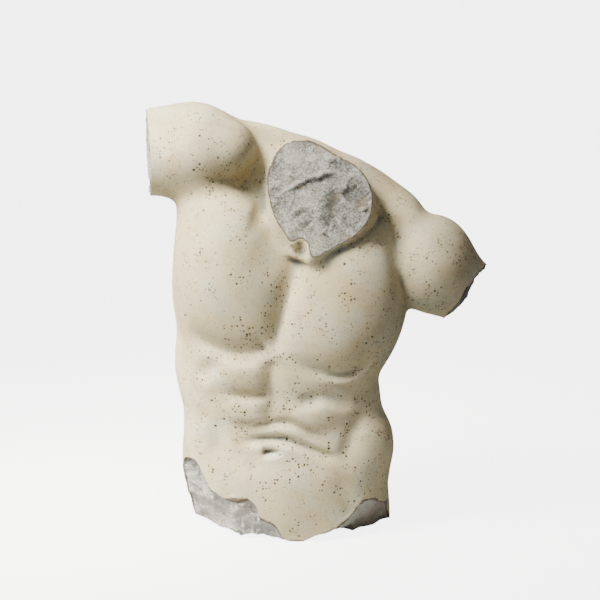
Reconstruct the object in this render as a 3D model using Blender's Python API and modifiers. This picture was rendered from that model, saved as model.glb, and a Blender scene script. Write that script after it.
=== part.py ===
"""Male torso in the antique manner, broken at the neck, at both arms and at the foot.

One cast piece. The body is a lofted trunk run together with a few round masses,
carved with shallow grooves and swells, then broken off along flat faces.

Frame: x to the viewer's right, y away from the viewer, z up, foot on z = 0.
Every size below HEIGHT is in percent of the height.
"""
import math

import bmesh
import bpy
import numpy as np
from mathutils import Matrix, Vector

# Driving sizes
HEIGHT = 0.38
TRIANGLES = 9800
COARSE_SKIN = 1.3
FINE_SKIN = 0.72
RING_SIDES = 48
CUTTER_LENGTH = 40.0
PERCENT = HEIGHT / 100

# Trunk rings from the foot up:
# height, middle x, middle y, half width, half depth, squareness
TRUNK = np.array((
    (-6.0, 0.1, -0.2, 23.6, 14.3, 2.5),
    (1.0, -0.1, -0.4, 23.8, 14.4, 2.5),
    (9.0, -0.7, -0.8, 24.0, 14.1, 2.5),
    (14.0, -0.8, -1.2, 24.6, 13.6, 2.4),
    (19.0, -0.5, -1.5, 24.9, 12.7, 2.4),
    (24.0, -0.6, -1.8, 24.2, 12.3, 2.4),
    (29.0, -1.6, -1.9, 23.3, 12.1, 2.3),
    (33.5, -2.5, -1.6, 23.6, 12.6, 2.3),
    (38.5, -3.2, -1.3, 23.8, 13.4, 2.2),
    (43.0, -2.3, -0.7, 24.6, 14.3, 2.2),
    (48.0, -0.9, -0.1, 25.4, 14.8, 2.2),
    (55.0, 0.2, 0.8, 26.9, 15.1, 2.2),
    (62.0, 0.3, 1.8, 26.7, 14.6, 2.2),
    (69.0, 0.4, 3.4, 25.9, 12.5, 2.2),
    (76.0, 0.3, 5.2, 24.5, 9.3, 2.2),
    (83.0, -0.2, 6.1, 22.6, 6.8, 2.2),
    (90.0, -0.9, 6.0, 19.8, 5.2, 2.2),
))
TRUNK_FLOOR = -4.0

# Round masses: limbs are (name, end, other end, two radii, blend),
# balls are (name, centre, three radii, lean in degrees, blend)
GIRDLE = (
    ("girdle under the raised shoulder", (-17.5, 7.0, 85.3), (9.3, 6.2, 78.2), (8.0, 8.0), 6.0),
    ("girdle to the low shoulder", (9.3, 6.2, 78.2), (26.9, 3.3, 70.4), (8.0, 9.3), 6.0),
)
BREASTS = (
    ("left breast", (-13.9, -6.1, 60.3), (12.2, 11.4, 20.5), -4, 6.0),
    ("right breast", (12.2, -5.1, 53.5), (14.4, 12.8, 19.8), 9, 4.0),
)
TENDON = ("tendon of the raised arm", (-18.2, -3.7, 68.7), (-20.2, -3.0, 81.5), (6.4, 6.2), 4.7)
SHOULDERS = (
    ("raised shoulder", (-21.6, -1.4, 88.9), (11.6, 11.0, 10.4), 0, 2.8),
    ("inner lobe of the raised shoulder", (-14.2, -3.3, 89.2), (6.0, 8.2, 6.2), 0, 1.6),
    ("low shoulder", (32.7, -0.9, 63.1), (10.0, 10.7, 11.2), 0, 2.2),
)
ARMS = (
    ("raised arm", (-22.9, 0.5, 88.7), (-39.6, 1.9, 88.4), (10.5, 9.8), 3.3),
    ("low arm", (32.4, 0.0, 61.9), (45.5, 0.9, 54.2), (9.4, 7.6), 3.3),
)
NECK = (
    ("neck's flare to the raised shoulder", (2.3, 5.4, 82.2), (-7.0, 7.0, 82.6), (7.6, 6.8), 5.0),
    ("nape", (4.6, 2.8, 75.5), (2.6, -11.0, 86.0), (9.0, 8.0), 2.6),
    ("neck", (8.7, 2.8, 68.7), (6.9, -13.1, 81.3), (13.4, 10.8), 2.8),
    ("cord at the neck's top", (3.9, 5.8, 77.6), (2.3, -7.4, 88.2), (5.8, 5.8), 2.6),
    ("cord at the neck's foot", (6.1, -6.6, 65.0), (4.7, -19.1, 74.9), (5.0, 5.0), 2.4),
)

# Line of the shoulders seen from the front (x, z), rounded from front to back
SHOULDER_LINE = np.array((
    (-32.2, 95.6), (-17.2, 96.3), (-10.3, 95.6), (-3.4, 94.1), (3.3, 91.4), (9.3, 89.2),
    (15.1, 87.2), (19.0, 85.2), (22.8, 83.2), (26.0, 81.2), (28.6, 78.7), (31.2, 75.4), (35.1, 69.5),
))
SHOULDER_ROUND = 25.7
SHOULDER_MIDDLE = 3.3

# Carving: strokes are (name, kind, points (x, z), height, width, fade at both ends);
# a fold is a sharp groove, gentle on the left of its travel and steep on the right,
# and a lip stands proud on the left
FRONT_STROKES = (
    ("valley of the breastbone", "fold", ((-3.9, 43.5), (-3.2, 47.5), (-2.0, 52.5), (-0.5, 57.5), (1.1, 62.0), (2.4, 65.8)), -1.7, 2.5, (0.25, 0.05)),
    ("edge of the raised shoulder", "line", ((-22.5, 83.2), (-17.0, 83.2), (-12.0, 84.0), (-9.2, 86.6), (-8.2, 90.5)), -0.9, 1.0, (0.4, 0.4)),
    ("edge of the low shoulder", "line", ((21.8, 70.5), (22.6, 67.5), (23.4, 64.3), (24.6, 61.0), (26.2, 58.3), (28.0, 55.5)), -0.5, 1.5, (0.35, 0.3)),
    ("crease under the neck", "line", ((21.3, 80.5), (21.4, 75.5), (19.0, 72.2), (14.5, 69.4), (8.5, 67.0), (5.0, 65.6)), -0.9, 1.1, (0.35, 0.3)),
    ("edge of the left breast", "fold", ((-23.0, 53.0), (-21.0, 48.6), (-17.5, 45.9), (-12.0, 44.7), (-7.5, 45.0), (-4.6, 46.5)), -1.2, 2.6, (0.4, 0.1)),
    ("edge of the right breast", "fold", ((0.5, 44.8), (3.0, 42.2), (6.0, 40.3), (10.0, 39.3), (13.5, 39.5), (16.5, 41.4), (19.0, 44.8), (20.8, 49.0)), -1.2, 2.4, (0.3, 0.35)),
    ("rim under the right breast", "line", ((3.5, 40.7), (9.5, 37.9), (14.5, 38.3), (18.0, 41.6), (21.0, 47.0)), 0.7, 1.0, (0.3, 0.35)),
    ("white line of the belly", "fold", ((-4.9, 28.3), (-4.1, 33.5), (-4.2, 39.0), (-4.0, 44.0)), -1.3, 2.4, (0.15, 0.2)),
    ("crease between belly blocks", "line", ((-15.5, 34.8), (-10.5, 34.6), (-5.0, 34.8)), -1.0, 0.9, (0.45, 0.1)),
    ("hollow under the left ribs", "line", ((-21.0, 37.5), (-18.5, 39.8), (-14.5, 43.2)), -1.1, 1.7, (0.35, 0.4)),
    ("ridge beside the left ribs", "line", ((-19.5, 33.0), (-18.0, 37.0), (-15.0, 40.8)), 0.7, 1.5, (0.4, 0.4)),
    ("upper fold", "fold", ((11.0, 24.6), (6.5, 25.4), (3.0, 26.9), (-0.5, 28.2), (-4.5, 28.0), (-9.0, 27.2), (-14.0, 26.8)), -1.3, 1.6, (0.3, 0.35)),
    ("swell under the upper fold", "line", ((-12.0, 25.6), (-4.0, 26.6), (0.5, 26.4), (7.0, 23.9)), 0.5, 1.2, (0.3, 0.3)),
    ("lower fold", "fold", ((12.3, 19.5), (9.0, 20.2), (4.0, 22.3), (-1.0, 24.1), (-4.5, 24.4), (-9.0, 23.9), (-13.0, 22.7)), -1.3, 1.3, (0.25, 0.3)),
    ("swell under the lower fold", "line", ((-12.0, 21.3), (-3.5, 22.9), (6.5, 20.2)), 0.5, 1.2, (0.3, 0.3)),
    ("edge of the right flank", "line", ((11.5, 17.5), (13.2, 22.0), (15.0, 26.8), (19.0, 31.5)), -1.0, 1.7, (0.35, 0.4)),
    ("edge of the left flank", "line", ((-18.0, 17.5), (-16.5, 23.5), (-16.2, 31.0)), -0.6, 1.9, (0.4, 0.4)),
    ("navel", "line", ((-6.6, 20.9), (-4.2, 21.2), (-0.4, 21.2)), -2.1, 0.7, (0.25, 0.6)),
    ("brow of the navel", "lip", ((0.1, 22.0), (-3.4, 22.0), (-7.2, 21.5)), 0.6, 0.6, (0.3, 0.3)),
    ("groin line", "line", ((9.0, 17.0), (12.5, 11.0), (14.5, 5.0)), -0.6, 2.0, (0.4, 0.1)),
)
BACK_STROKES = (
    ("spine", "line", ((3.5, 5.0), (2.0, 33.0), (3.5, 63.0), (7.0, 88.0)), -1.9, 2.3, (0.12, 0.25)),
    ("left spine muscle", "line", ((-3.0, 7.0), (-3.5, 28.0), (-2.5, 50.0)), 1.4, 3.5, (0.25, 0.4)),
    ("right spine muscle", "line", ((9.5, 7.0), (8.0, 28.0), (7.0, 50.0)), 1.4, 3.5, (0.25, 0.4)),
    ("inner edge of the left blade", "line", ((-4.0, 61.0), (-5.0, 70.0), (-8.0, 79.0)), -0.9, 2.3, (0.35, 0.35)),
    ("inner edge of the right blade", "line", ((11.0, 52.5), (12.0, 61.0), (13.5, 70.0)), -0.9, 2.3, (0.35, 0.35)),
    ("ridge of the left blade", "line", ((-7.0, 77.0), (-14.5, 82.0), (-22.5, 87.0)), 0.9, 2.3, (0.35, 0.35)),
    ("ridge of the right blade", "line", ((14.5, 70.0), (21.5, 69.0), (30.0, 64.5)), 0.9, 2.3, (0.35, 0.35)),
    ("left broad muscle", "line", ((-1.0, 28.0), (-8.5, 38.5), (-17.0, 50.0)), -0.6, 2.8, (0.35, 0.35)),
    ("right broad muscle", "line", ((5.5, 28.0), (12.5, 37.5), (20.5, 48.0)), -0.6, 2.8, (0.35, 0.35)),
    ("cleft", "line", ((3.5, -1.5), (3.5, 7.0), (3.5, 12.0)), -1.6, 2.0, (0.0, 0.5)),
)
# Swells are (name, middle (x, z), half sizes, turn in degrees, height)
FRONT_SWELLS = (
    ("upper belly block", (-10.0, 39.0), (6.0, 4.2), 0, 1.4),
    ("lower belly block", (-10.0, 31.2), (6.2, 3.2), 0, 1.3),
    ("right belly block", (2.2, 37.0), (5.5, 4.5), 0, 0.7),
    ("end of the oblique", (6.5, 30.3), (7.0, 3.6), 8, 1.4),
    ("hollow over the oblique", (4.6, 33.4), (2.4, 1.7), 0, -0.9),
    ("hollow beside the oblique", (10.5, 33.0), (3.2, 1.3), -25, -0.9),
    ("right flank", (20.5, 21.5), (4.2, 6.5), -14, 0.9),
    ("left flank", (-21.5, 24.0), (4.2, 7.0), 8, 0.7),
    ("lower belly", (-3.0, 11.5), (11.5, 9.0), 0, 0.9),
    ("hollow beside the neck", (-7.4, 74.6), (1.5, 3.0), -12, -0.5),
)
BACK_SWELLS = (
    ("left blade", (-11.0, 70.0), (8.0, 10.5), 20, 1.9),
    ("right blade", (18.5, 61.0), (8.0, 10.0), -14, 1.9),
    ("left buttock", (-8.0, 3.5), (11.0, 10.5), 0, 2.6),
    ("right buttock", (14.5, 3.5), (10.0, 10.0), 0, 2.6),
    ("left dimple", (-1.5, 15.5), (2.2, 2.0), 0, -0.5),
    ("right dimple", (8.0, 15.5), (2.2, 2.0), 0, -0.5),
)

# Breaks: a point on the face, its outward normal, radius of the part taken off
BREAKS = (
    ("neck break", (7.3, -9.0, 80.0), (-0.05, -0.86, 0.50), 16.0),
    ("notch over the breastbone", (2.3, -13.2, 67.9), (-0.05, -0.90, 0.43), 2.4),
    ("raised arm break", (-32.9, 0.0, 88.9), (-0.997, -0.06, -0.03), 14.0),
    ("raised arm corner", (-32.3, 0.0, 98.5), (-0.62, 0.05, 0.78), 12.0),
    ("low arm end", (43.3, 0.0, 58.4), (0.84, -0.07, -0.53), 16.0),
    ("low arm tip", (64.5, 0.0, 80.7), (0.70, -0.05, -0.70), 30.0),
    ("low arm break", (35.3, 0.0, 41.1), (0.92, -0.07, -0.39), 20.0),
    ("low arm edge", (39.1, 0.0, 52.4), (0.70, 0.0, -0.71), 12.0),
    ("left foot chip", (-20.9, -8.5, 13.9), (-0.75, -0.55, -0.37), 22.0),
    ("front foot chip", (-17.5, -11.6, 5.0), (-0.21, -0.94, -0.26), 10.4),
    ("low front chip", (-4.0, -15.1, 2.9), (-0.40, -0.69, -0.60), 4.6),
    ("right foot chip", (17.5, -10.2, 6.0), (0.61, -0.62, -0.49), 16.0),
    ("chip under the left foot", (-11.5, -12.0, 1.2), (-0.14, -0.26, -0.95), 16.0),
    ("chip under the right foot", (8.5, -11.0, 0.6), (0.35, -0.33, -0.88), 6.5),
)

CHART_STEP = 0.25
CHART_LOW = (-34.0, -3.0)
CHART_SIZE = (300, 420)


def unit(vector):
    vector = np.asarray(vector, float)
    return vector / np.linalg.norm(vector)


def join_soft(a, b, blend):
    """Union of two distances with a fillet of the given width."""
    near = np.maximum(blend - np.abs(a - b), 0) / blend
    return np.minimum(a, b) - near * near * blend / 4


def meet_soft(a, b, blend):
    """Common part of two distances with a rounded edge."""
    return -join_soft(-a, -b, blend)


def between_rows(rows, key):
    """Smooth curve through rows sorted by their first column."""
    keys, values = rows[:, 0], rows[:, 1:]
    slopes = np.gradient(values, keys, axis=0)
    key = np.clip(key, keys[0], keys[-1])
    i = np.clip(np.searchsorted(keys, key) - 1, 0, len(keys) - 2)
    span = (keys[i + 1] - keys[i])[..., None]
    t = (key - keys[i])[..., None] / span
    return (
        (2 * t**3 - 3 * t**2 + 1) * values[i]
        + (t**3 - 2 * t**2 + t) * span * slopes[i]
        + (3 * t**2 - 2 * t**3) * values[i + 1]
        + (t**3 - t**2) * span * slopes[i + 1]
    )


def ball(points, mass):
    """Distance to an ellipsoid that leans in the x-z plane."""
    _, centre, radii, lean, _ = mass
    c, s = math.cos(math.radians(lean)), math.sin(math.radians(lean))
    d = points - np.array(centre)
    d = np.stack((c * d[:, 0] - s * d[:, 2], d[:, 1], s * d[:, 0] + c * d[:, 2]), -1)
    radii = np.array(radii)
    reach = np.linalg.norm(d / radii, axis=1) + 1e-9
    return reach * (reach - 1) / (np.linalg.norm(d / radii**2, axis=1) + 1e-9)


def limb(points, mass):
    """Distance to a round bar whose radius runs from one end to the other."""
    _, start, end, (r0, r1), _ = mass
    start, axis = np.array(start), np.array(end) - np.array(start)
    share = np.clip((points - start) @ axis / (axis @ axis), 0, 1)
    return np.linalg.norm(points - start - share[:, None] * axis, axis=1) - r0 - (r1 - r0) * share


def trunk(points):
    """Distance to the lofted trunk, whose rings are superellipses."""
    x, y, half_x, half_y, power = between_rows(TRUNK, points[:, 2]).T
    dx, dy = points[:, 0] - x, points[:, 1] - y
    reach = (np.abs(dx / half_x) ** power + np.abs(dy / half_y) ** power) ** (1 / power) + 1e-9
    return np.hypot(dx, dy) * (1 - 1 / reach)


def over_shoulders(points):
    """Height over the shoulder line, which drops to the front and the back."""
    line = between_rows(SHOULDER_LINE, points[:, 0])[:, 0]
    return 0.8 * (points[:, 2] - line + (points[:, 1] - SHOULDER_MIDDLE) ** 2 / SHOULDER_ROUND)


def smoothstep(t):
    t = np.clip(t, 0, 1)
    return t * t * (3 - 2 * t)


def stroke_height(chart, stroke):
    """Height of one carved stroke over the chart's points, never too narrow for the mesh."""
    _, kind, points, height, width, fades = stroke
    width = max(width, 2 * FINE_SKIN)
    points = np.column_stack((np.arange(len(points)), points))
    line = between_rows(points, np.linspace(0, len(points) - 1, 22))
    reach = width * (10 if kind == "lip" else 3)
    near = np.all((chart > line.min(0) - reach) & (chart < line.max(0) + reach), axis=-1)
    q = chart[near]
    closest = np.full(len(q), 1e9)
    along = np.zeros(len(q))
    side = np.ones(len(q))
    for number, (a, b) in enumerate(zip(line[:-1], line[1:])):
        step = b - a
        share = np.clip((q - a) @ step / (step @ step), 0, 1)
        off = q - a - share[:, None] * step
        distance = np.linalg.norm(off, axis=1)
        nearer = distance < closest
        closest[nearer] = distance[nearer]
        along[nearer] = (number + share[nearer]) / (len(line) - 1)
        side[nearer] = np.where(step[0] * off[nearer, 1] >= step[1] * off[nearer, 0], 1, -1)
    if kind == "fold":
        shape = np.exp(-((closest / (width * np.where(side > 0, 1, 0.9))) ** 1.7))
    elif kind == "lip":
        shape = np.tanh(side * closest / width) / 2 * np.exp(-((closest / (5 * width)) ** 2))
    else:
        shape = np.exp(-((closest / width) ** 2))
    for share, fade in zip((along, 1 - along), fades):
        if fade:
            shape = shape * smoothstep(share / fade)
    out = np.zeros(chart.shape[:-1])
    out[near] = height * shape
    return out


def swell_height(chart, swell):
    """Height of one rounded swell or hollow over the chart's points."""
    _, middle, halves, turn, height = swell
    c, s = math.cos(math.radians(turn)), math.sin(math.radians(turn))
    d = chart - np.array(middle)
    across = np.abs(c * d[..., 0] + s * d[..., 1]) / halves[0]
    up = np.abs(c * d[..., 1] - s * d[..., 0]) / halves[1]
    return height * np.exp(-((across**2.5 + up**2.5) ** 1.2))


def carve_chart(strokes, swells):
    """Height chart of one side's carving over x and z."""
    axes = [low + CHART_STEP * np.arange(size) for low, size in zip(CHART_LOW, CHART_SIZE)]
    chart = np.stack(np.meshgrid(*axes), -1)
    carving = sum(stroke_height(chart, stroke) for stroke in strokes)
    return carving + sum(swell_height(chart, swell) for swell in swells)


def read_chart(heights, points):
    """Chart height at the points, between its four nearest values."""
    spots = (points[:, [0, 2]] - CHART_LOW) / CHART_STEP
    spots = np.clip(spots, 0, np.array(CHART_SIZE) - 1.001)
    i, j = spots.astype(int).T
    a, b = (spots - spots.astype(int)).T
    lower = heights[j, i] * (1 - a) + heights[j, i + 1] * a
    upper = heights[j + 1, i] * (1 - a) + heights[j + 1, i + 1] * a
    return lower * (1 - b) + upper * b


def body(points, front, back):
    """Distance to the whole body before it was broken; negative inside."""
    f = trunk(points)
    for mass in GIRDLE:
        f = join_soft(f, limb(points, mass), mass[-1])
    f = meet_soft(f, over_shoulders(points), 2.3)
    for mass in BREASTS:
        f = join_soft(f, ball(points, mass), mass[-1])
    f = join_soft(f, limb(points, TENDON), TENDON[-1])
    for mass in NECK:
        f = join_soft(f, limb(points, mass), mass[-1])
    for mass in SHOULDERS:
        f = join_soft(f, ball(points, mass), mass[-1])
    for mass in ARMS:
        f = join_soft(f, limb(points, mass), mass[-1])
    f = f - read_chart(front, points) * np.clip((0.9 - points[:, 1]) / 5.6, 0, 1)
    f = f - read_chart(back, points) * np.clip((points[:, 1] + 0.9) / 5.6, 0, 1)
    return np.maximum(f, TRUNK_FLOOR - points[:, 2])


def settle(mesh, charts, passes):
    """Move every vertex onto the body along the slope of its distance."""
    points = np.empty(len(mesh.vertices) * 3)
    mesh.vertices.foreach_get("co", points)
    points = points.reshape(-1, 3) / PERCENT
    step = 0.08
    for _ in range(passes):
        here = body(points, *charts)
        slope = np.stack([
            (body(points + step * axis, *charts) - body(points - step * axis, *charts)) / (2 * step)
            for axis in np.eye(3)
        ], -1)
        steep = np.maximum((slope**2).sum(1), 0.2)
        points -= np.clip(here / steep, -1.5, 1.5)[:, None] * slope
    mesh.vertices.foreach_set("co", (points * PERCENT).ravel())
    mesh.update()


def add_trunk(bm):
    """Closed loft through the trunk's rings."""
    angles = np.linspace(0, 2 * math.pi, RING_SIDES, endpoint=False)
    heights = np.linspace(TRUNK_FLOOR, TRUNK[-1, 0], 40)
    rings = []
    for height, (x, y, half_x, half_y, power) in zip(heights, between_rows(TRUNK, heights)):
        c, s = np.cos(angles), np.sin(angles)
        round_off = (np.abs(c) ** power + np.abs(s) ** power) ** (-1 / power)
        ring = np.column_stack((x + half_x * c * round_off, y + half_y * s * round_off, 0 * c + height))
        rings.append([bm.verts.new(point * PERCENT) for point in ring])
    for low, high in zip(rings[:-1], rings[1:]):
        for i in range(RING_SIDES):
            j = (i + 1) % RING_SIDES
            bm.faces.new((low[i], low[j], high[j], high[i]))
    bm.faces.new(rings[0][::-1])
    bm.faces.new(rings[-1])


def add_ball(bm, mass):
    _, centre, radii, lean, _ = mass
    place = (
        Matrix.Translation(Vector(centre) * PERCENT)
        @ Matrix.Rotation(math.radians(lean), 4, "Y")
        @ Matrix.Diagonal((*(Vector(radii) * PERCENT), 1))
    )
    bmesh.ops.create_uvsphere(bm, u_segments=32, v_segments=16, radius=1, matrix=place)


def add_limb(bm, mass):
    """A limb as a cone with a ball at either end."""
    _, start, end, (r0, r1), _ = mass
    start, end = Vector(start) * PERCENT, Vector(end) * PERCENT
    for centre, radius in ((start, r0), (end, r1)):
        bmesh.ops.create_uvsphere(
            bm, u_segments=32, v_segments=16, radius=radius * PERCENT, matrix=Matrix.Translation(centre)
        )
    axis = end - start
    turn = Vector((0, 0, 1)).rotation_difference(axis).to_matrix().to_4x4()
    bmesh.ops.create_cone(
        bm, cap_ends=True, segments=32, radius1=r0 * PERCENT, radius2=r1 * PERCENT,
        depth=axis.length, matrix=Matrix.Translation((start + end) / 2) @ turn,
    )


def apply_modifiers(item):
    """Bake the object's modifiers into its mesh."""
    shape = bpy.data.meshes.new_from_object(item.evaluated_get(bpy.context.evaluated_depsgraph_get()))
    item.modifiers.clear()
    item.data = shape


def reskin(item, size):
    """One even skin over everything the object's mesh holds."""
    skin = item.modifiers.new("skin", "REMESH")
    skin.mode = "VOXEL"
    skin.voxel_size = size * PERCENT
    apply_modifiers(item)


def thin_out(item, triangles):
    """Bring the mesh down to a number of triangles, keeping the carving."""
    count = sum(len(face.vertices) - 2 for face in item.data.polygons)
    thin = item.modifiers.new("thin", "DECIMATE")
    thin.ratio = triangles / count
    thin.use_collapse_triangulate = True
    apply_modifiers(item)


def add_cutter(name, point, normal, radius, collection):
    """A round bar whose one end is the break's face."""
    bm = bmesh.new()
    normal = Vector(unit(normal))
    turn = Vector((0, 0, 1)).rotation_difference(normal).to_matrix().to_4x4()
    middle = (Vector(point) + normal * CUTTER_LENGTH / 2) * PERCENT
    bmesh.ops.create_cone(
        bm, cap_ends=True, segments=40, radius1=radius * PERCENT, radius2=radius * PERCENT,
        depth=CUTTER_LENGTH * PERCENT, matrix=Matrix.Translation(middle) @ turn,
    )
    mesh = bpy.data.meshes.new(name)
    bm.to_mesh(mesh)
    bm.free()
    cutter = bpy.data.objects.new(name.replace(" ", "_"), mesh)
    cutter.hide_render = True
    cutter.display_type = "WIRE"
    collection.objects.link(cutter)
    return cutter


def break_off(item, cutters):
    for cutter in cutters:
        cut = item.modifiers.new(cutter.name, "BOOLEAN")
        cut.operation = "DIFFERENCE"
        cut.solver = "EXACT"
        cut.object = cutter
    bpy.context.view_layer.update()
    apply_modifiers(item)


def level_foot(item):
    """Cut the foot flat on z = 0 and close it."""
    bm = bmesh.new()
    bm.from_mesh(item.data)
    cut = bmesh.ops.bisect_plane(
        bm, geom=bm.verts[:] + bm.edges[:] + bm.faces[:], plane_co=(0, 0, 0), plane_no=(0, 0, 1), clear_inner=True
    )
    rim = [edge for edge in cut["geom_cut"] if isinstance(edge, bmesh.types.BMEdge)]
    bmesh.ops.contextual_create(bm, geom=rim)
    bmesh.ops.remove_doubles(bm, verts=bm.verts, dist=0.00005)
    bmesh.ops.dissolve_degenerate(bm, edges=bm.edges, dist=0.00001)
    bmesh.ops.triangulate(bm, faces=bm.faces)
    bmesh.ops.recalc_face_normals(bm, faces=bm.faces)
    bm.to_mesh(item.data)
    bm.free()


def resin(name):
    """Pale cast resin, matt all over."""
    material = bpy.data.materials.new(name)
    material.use_nodes = True
    shader = material.node_tree.nodes["Principled BSDF"]
    shader.inputs["Base Color"].default_value = (0.66, 0.60, 0.47, 1)
    shader.inputs["Roughness"].default_value = 0.85
    return material


def new_collection(name):
    collection = bpy.data.collections.new(name)
    bpy.context.scene.collection.children.link(collection)
    return collection


def build():
    for item in list(bpy.data.objects):
        bpy.data.objects.remove(item)
    parts = new_collection("male_torso")
    cutters = new_collection("breaks")

    bm = bmesh.new()
    add_trunk(bm)
    for mass in BREASTS + SHOULDERS:
        add_ball(bm, mass)
    for mass in GIRDLE + ARMS + NECK + (TENDON,):
        add_limb(bm, mass)
    mesh = bpy.data.meshes.new("torso")
    bm.to_mesh(mesh)
    bm.free()
    torso = bpy.data.objects.new("torso", mesh)
    parts.objects.link(torso)

    charts = carve_chart(FRONT_STROKES, FRONT_SWELLS), carve_chart(BACK_STROKES, BACK_SWELLS)
    reskin(torso, COARSE_SKIN)
    settle(torso.data, charts, 5)
    reskin(torso, FINE_SKIN)
    settle(torso.data, charts, 3)
    thin_out(torso, TRIANGLES)
    break_off(torso, [add_cutter(*wound, cutters) for wound in BREAKS])
    level_foot(torso)
    torso.data.materials.clear()
    torso.data.materials.append(resin("cast_resin"))


build()
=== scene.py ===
"""Looks of the broken male torso, cast in pale resin that imitates travertine.

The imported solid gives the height, the pose and the breaks. A fine skin is laid over a
copy of it and drawn onto the carved body; the breaks then get their rough stone, the
skin its cast pores, and one material colours both.

Frame: x to the viewer's right, y away from the viewer, z up, foot on z = 0.
Sizes without a unit in their name are in percent of the height.
"""
import math

import bpy
import numpy as np
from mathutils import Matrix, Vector


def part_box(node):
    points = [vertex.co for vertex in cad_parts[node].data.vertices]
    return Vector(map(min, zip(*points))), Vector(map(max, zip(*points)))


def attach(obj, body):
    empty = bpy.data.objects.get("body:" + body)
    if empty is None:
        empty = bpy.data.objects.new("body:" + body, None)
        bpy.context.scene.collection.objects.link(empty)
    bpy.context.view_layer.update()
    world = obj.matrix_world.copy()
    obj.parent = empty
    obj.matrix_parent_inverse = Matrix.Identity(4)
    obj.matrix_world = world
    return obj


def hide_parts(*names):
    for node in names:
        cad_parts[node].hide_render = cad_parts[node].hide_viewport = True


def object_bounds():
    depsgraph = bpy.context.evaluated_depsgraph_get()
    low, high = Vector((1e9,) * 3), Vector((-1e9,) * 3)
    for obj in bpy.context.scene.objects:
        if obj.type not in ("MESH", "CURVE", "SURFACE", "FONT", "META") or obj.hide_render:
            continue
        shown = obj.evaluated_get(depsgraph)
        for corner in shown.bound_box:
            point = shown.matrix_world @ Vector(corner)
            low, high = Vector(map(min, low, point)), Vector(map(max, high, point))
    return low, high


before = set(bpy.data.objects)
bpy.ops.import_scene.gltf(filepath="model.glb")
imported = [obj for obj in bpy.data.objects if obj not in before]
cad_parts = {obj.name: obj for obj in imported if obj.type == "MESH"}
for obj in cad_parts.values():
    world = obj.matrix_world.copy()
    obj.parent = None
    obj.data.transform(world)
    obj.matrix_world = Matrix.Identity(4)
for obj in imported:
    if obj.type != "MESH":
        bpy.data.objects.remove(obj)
CAD_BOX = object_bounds()

# Driving sizes, from the frame
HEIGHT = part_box("torso")[1][2]
PERCENT = HEIGHT / 100
MM = 0.001 / PERCENT
SKIN_MM = 2.6
SEED = 7

# Trunk rings from the foot up:
# height, middle x, middle y, half width, half depth, squareness
TRUNK = np.array((
    (-6.0, 0.1, -0.2, 23.6, 14.3, 2.5),
    (1.0, -0.1, -0.4, 23.8, 14.4, 2.5),
    (9.0, -0.7, -0.8, 24.0, 14.1, 2.5),
    (14.0, -0.8, -1.2, 24.6, 13.6, 2.4),
    (19.0, -0.5, -1.5, 24.9, 12.7, 2.4),
    (24.0, -0.6, -1.8, 24.2, 12.3, 2.4),
    (29.0, -1.6, -1.9, 23.3, 12.1, 2.3),
    (33.5, -2.5, -1.6, 23.6, 12.6, 2.3),
    (38.5, -3.2, -1.3, 23.8, 13.4, 2.2),
    (43.0, -2.3, -0.7, 24.6, 14.3, 2.2),
    (48.0, -0.9, -0.1, 25.4, 14.8, 2.2),
    (55.0, 0.2, 0.8, 26.9, 15.1, 2.2),
    (62.0, 0.3, 1.8, 26.7, 14.6, 2.2),
    (69.0, 0.4, 3.4, 25.9, 12.5, 2.2),
    (76.0, 0.3, 5.2, 24.5, 9.3, 2.2),
    (83.0, -0.2, 6.1, 22.6, 6.8, 2.2),
    (90.0, -0.9, 6.0, 19.8, 5.2, 2.2),
))
TRUNK_FLOOR = -4.0

# Round masses: limbs are (name, end, other end, two radii, blend),
# balls are (name, centre, three radii, lean in degrees, blend)
GIRDLE = (
    ("girdle under the raised shoulder", (-17.5, 7.0, 85.3), (9.3, 6.2, 78.2), (8.0, 8.0), 6.0),
    ("girdle to the low shoulder", (9.3, 6.2, 78.2), (26.9, 3.3, 70.4), (8.0, 9.3), 6.0),
)
BREASTS = (
    ("left breast", (-13.9, -6.1, 60.3), (12.2, 11.4, 20.5), -4, 6.0),
    ("right breast", (12.2, -5.1, 53.5), (14.4, 12.8, 19.8), 9, 4.0),
)
TENDON = ("tendon of the raised arm", (-18.2, -3.7, 68.7), (-20.2, -3.0, 81.5), (6.4, 6.2), 4.7)
SHOULDERS = (
    ("raised shoulder", (-21.6, -1.4, 88.9), (11.6, 11.0, 10.4), 0, 2.8),
    ("inner lobe of the raised shoulder", (-14.0, -2.7, 89.2), (6.0, 7.6, 6.2), 0, 3.0),
    ("low shoulder", (32.7, -0.9, 63.1), (10.0, 10.7, 11.2), 0, 2.2),
)
ARMS = (
    ("raised arm", (-22.9, 0.5, 88.7), (-39.6, 1.9, 88.4), (10.5, 9.8), 3.3),
    ("low arm", (32.4, 0.0, 61.9), (46.0, 0.9, 52.8), (9.4, 7.2), 3.3),
)
NECK = (
    ("neck's flare to the raised shoulder", (2.3, 5.4, 82.2), (-7.0, 7.0, 82.6), (7.6, 6.8), 5.0),
    ("nape", (4.6, 2.8, 75.5), (2.6, -11.0, 86.0), (9.0, 8.0), 2.6),
    ("neck", (8.7, 2.8, 68.7), (6.9, -13.1, 81.3), (13.4, 10.8), 2.8),
    ("cord at the neck's top", (3.9, 5.8, 77.6), (2.3, -7.4, 88.2), (5.8, 5.8), 2.6),
    ("cord at the neck's foot", (6.1, -6.6, 65.0), (4.7, -19.1, 74.9), (5.0, 5.0), 2.4),
)
# Hollows are scooped out of the whole body: (name, centre, three radii, lean, blend)
HOLLOWS = (
    ("notch over the breastbone", (2.4, -17.3, 67.7), (2.1, 4.4, 3.8), 0, 1.2),
)

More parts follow.
